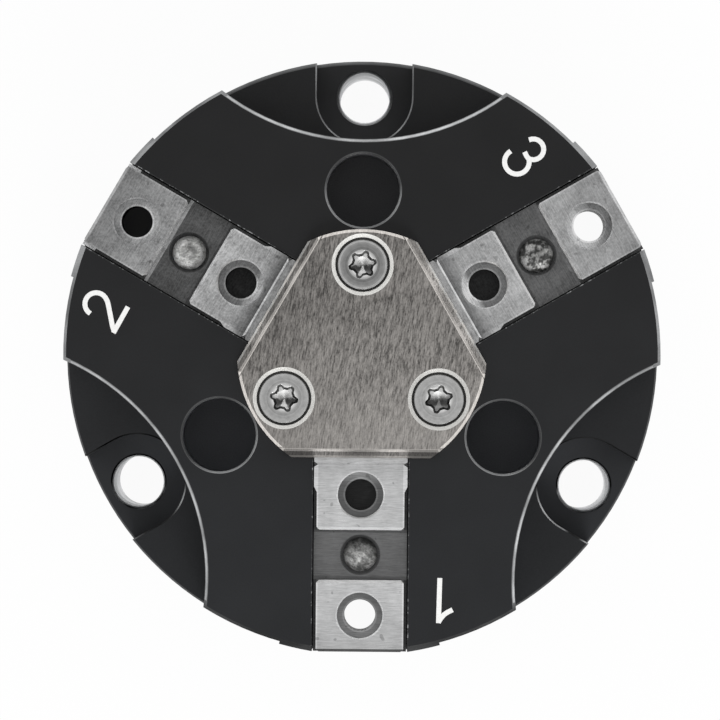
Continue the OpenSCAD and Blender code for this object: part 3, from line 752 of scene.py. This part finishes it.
def drive_radius(angle, inset=0.0):
    """Outline of the six-lobe drive: narrow round lobes and broad hollows between them."""
    lobe = (0.5 + 0.5 * math.cos(6 * angle)) ** (1.2 + 2.2 * inset)
    return 1.92 - inset + 0.58 * lobe * lobe * (3 - 2 * lobe)


def screw_finish(number, look):
    """Zinc-plated head with turning rings, on the piece's own axis, with painted light and shade that differ from
    screw to screw.
    """
    f = Finish(f"screw_steel_bright_{number}", metallic=1.0)
    rings = f.rings(0.00028)
    cloud = f.noise(f.place(), 0.0011, 3.0, 0.6)
    x, y, z = f.split(f.place())
    out = f.length(x, y)
    tone = f.range(f.blend((rings, 0.5), (cloud, 0.5)), 0.36, 0.64, 0.36, 0.6)
    # painted light and shade across the head, set for each screw
    tone = f.times(tone, f.range(out, 0.0030, 0.0042, look["core"], look["outer"]))
    rim = f.over(out, (HEAD_R - 0.43) * MM)
    tone = f.pick(rim, tone, f.range(cloud, 0.3, 0.7, 0.42, 0.54))
    # a painted highlight on the lead-in round the recess
    lead = f.times(f.under(out, LEAD_R * MM), f.over(z, -(LEAD_DEPTH + 0.02) * MM), f.under(z, -0.00001))
    tone = f.pick(lead, tone, f.range(out, 0.0019, 0.0025, 1.0, 0.5))

    # the front half of the recess lies in its own shade, with its foot lit again, and a light
    # wedge reaches into the shade from the middle
    bend = f.plus(y, f.times(f.minus(cloud, 0.5), 0.0016))
    foot = f.range(bend, -0.0015, -0.0008, 0.34, 0.1)
    back = f.range(out, 0.0003, 0.0016, 0.52, 0.72)
    recess_tone = f.range(bend, -0.0003, look["soft"], foot, back)
    spread = f.plus(f.absolute(x), f.times(bend, 0.42))
    wedge = f.times(f.range(spread, -0.0001, 0.0001, 1.0, 0.0), f.range(bend, -0.0003, -0.0001, 1.0, 0.0))
    recess_tone = f.pick(wedge, recess_tone, look["wedge"])
    in_recess = f.under(out, RECESS_R * MM)
    recess = f.times(in_recess, f.under(z, -0.0007))
    tone = f.pick(recess, tone, recess_tone)
    # painted shade on the recess's upright walls
    tone = f.pick(f.times(f.under(f.slope(), 0.4), in_recess), tone, 0.06)
    rough = f.pick(f.most(rim, recess), 0, 0.56)
    return f.use(
        colour=f.scaled((1.0, 1.0, 0.99, 1), tone),
        roughness=f.most(f.range(cloud, 0.3, 0.7, 0.42, 0.3), rough),
        normal=f.bump(rings, 0.00001, 0.8),
    )


def plate_screw(number, angle, turn, material):
    """A countersunk screw with its drive recess, lead-in, cone and thread ridges, drawn about its own axis."""
    bm = bmesh.new()

    def loop(radius, z):
        verts = []
        for i in range(STEPS):
            a = 2 * math.pi * i / STEPS
            r = radius(a) if callable(radius) else radius
            b = a + math.radians(turn)
            verts.append(bm.verts.new((r * math.cos(b) * MM, r * math.sin(b) * MM, z * MM)))
        return verts

    loops = [
        loop(0.1, -DRIVE_DEPTH - 0.75),
        loop(0.55, -DRIVE_DEPTH - 0.5),
        loop(1.0, -DRIVE_DEPTH - 0.22),
        loop(1.4, -DRIVE_DEPTH - 0.04),
        loop(lambda a: drive_radius(a, 0.42), -DRIVE_DEPTH),
        loop(drive_radius, -LEAD_DEPTH * 0.35),
        loop(lambda a: max(drive_radius(a) + 0.02, LEAD_R - 0.2), -0.03),
        loop(LEAD_R, 0.0),
        loop(HEAD_R - HEAD_BEVEL * 2.5, 0.0),
        loop(HEAD_R - HEAD_BEVEL * 0.4, -HEAD_BEVEL),
        loop(HEAD_R, -HEAD_BEVEL * 2),
    ]
    neck = -(HEAD_R - SHANK_R) - HEAD_BEVEL * 2
    loops.append(loop(SHANK_R, neck))
    z = neck - THREAD_PITCH / 2
    while z > -THREAD_END:
        loops.append(loop(SHANK_R - THREAD_CUT, z - THREAD_PITCH * 0.25))
        loops.append(loop(SHANK_R, z - THREAD_PITCH * 0.75))
        z -= THREAD_PITCH
    loops.append(loop(SHANK_R - THREAD_CUT - 0.25, -POINT_END))
    for row, (upper, lower) in enumerate(zip(loops, loops[1:])):
        for i in range(STEPS):
            j = (i + 1) % STEPS
            face = bm.faces.new((upper[i], upper[j], lower[j], lower[i]))
            face.smooth = row < SMOOTH_ROWS
    bm.faces.new(loops[0])
    bm.faces.new(loops[-1])
    bmesh.ops.recalc_face_normals(bm, faces=bm.faces)
    piece = piece_of(f"cover_plate_screw_{number}", bm, material)
    x, y = round_the_axis(PLATE_SCREW_AT, (angle,))[0]
    piece.location = (x, y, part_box("cover_plate_screws")[1].z)
    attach(piece, "body")
    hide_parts("cover_plate_screws")


# The drive's turn in degrees, gains of painted light near the recess and near the rim, the painted light wedge's
# tone in the recess, and how far back, in metres, its painted shade fades out
SCREW_LOOKS = (
    {"turn": 13, "core": 0.52, "outer": 0.8, "wedge": 1.0, "soft": 0.0001},
    {"turn": -10, "core": 0.9, "outer": 1.0, "wedge": 1.0, "soft": 0.0001},
    {"turn": 18, "core": 1.0, "outer": 1.0, "wedge": 0.42, "soft": 0.0009},
)
for number, (angle, screw) in enumerate(zip(LOBE_ANGLES, SCREW_LOOKS), start=1):
    plate_screw(number, angle, screw["turn"], screw_finish(number, screw))


# ------------------------------------------------------------ floor and light

FLOOR_REACH = 4.0


def floor_material():
    """Pale floor: white where it is seen, with the object's shadow kept."""
    material = bpy.data.materials.new("pale_floor")
    material.use_nodes = True
    g = Graph(material.node_tree)
    g.nodes.clear()
    ray = g.node("LightPath").outputs
    seen = g.most(ray["Is Camera Ray"], ray["Is Glossy Ray"], ray["Is Transmission Ray"])
    matt = g.node("BsdfDiffuse", (0.92, 0.92, 0.92, 1))
    white = g.node("Emission", WHITE)
    mixed = g.node("MixShader", g.times(seen, 0.95), matt.outputs[0], white.outputs[0])
    g.node("OutputMaterial", mixed.outputs[0])
    return material


corners = [(FLOOR_REACH * x, FLOOR_REACH * y, 0) for x, y in ((-1, -1), (1, -1), (1, 1), (-1, 1))]
floor_mesh = bpy.data.meshes.new("floor")
floor_mesh.from_pydata(corners, [], [(0, 1, 2, 3)])
floor_mesh.materials.append(floor_material())
floor = bpy.data.objects.new("floor", floor_mesh)
floor.location.z = CAD_BOX[0].z - 0.00005
bpy.context.scene.collection.objects.link(floor)

# A dome that is brightest low down, and plain white where the background is seen
world = bpy.data.worlds.new("soft_studio")
bpy.context.scene.world = world
world.use_nodes = True
sky = Graph(world.node_tree)
sky.nodes.clear()
up = sky.split(sky.node("TexCoord").outputs["Generated"])[2]
dome = sky.node("Background", WHITE, sky.range(up, 0.25, 0.92, 1.15, 0.66, smooth=True))
backdrop = sky.node("Background", WHITE, 1)
chosen = sky.node("MixShader", sky.node("LightPath").outputs["Is Camera Ray"], dome.outputs[0], backdrop.outputs[0])
sky.node("OutputWorld", chosen.outputs[0])

LAMP_AT = Vector((0.15, -0.85, 0.85))
LAMP_AIM = Vector((0, 0, 0.03))
lamp = bpy.data.lights.new("key_lamp", "AREA")
lamp.shape = "DISK"
lamp.size = 0.6
lamp.energy = 5.0
holder = bpy.data.objects.new("key_lamp", lamp)
holder.location = LAMP_AT
holder.rotation_mode = "QUATERNION"
holder.rotation_quaternion = (LAMP_AIM - LAMP_AT).to_track_quat("-Z", "Y")
bpy.context.scene.collection.objects.link(holder)


# ------------------------------------------------------------------- camera

CAMERA_DISTANCE = 1438  # from the housing's top face, in millimetres
FIELD = 126.5  # width of the view on that face, in millimetres
camera_data = bpy.data.cameras.new("camera")
camera_data.sensor_width = 36
camera_data.lens = camera_data.sensor_width * CAMERA_DISTANCE / FIELD
camera_data.shift_x = -0.0338
camera_data.shift_y = 0.0427
camera_data.clip_start = 0.05
camera_data.clip_end = 20
camera = bpy.data.objects.new("camera", camera_data)
camera.location = Vector((4.0, -6.4, FACE_Z + CAMERA_DISTANCE)) * MM
camera.rotation_euler = (0, 0, math.radians(0.5))
bpy.context.scene.collection.objects.link(camera)
bpy.context.scene.camera = camera
bpy.context.scene.view_settings.view_transform = "Standard"

bpy.context.view_layer.update()
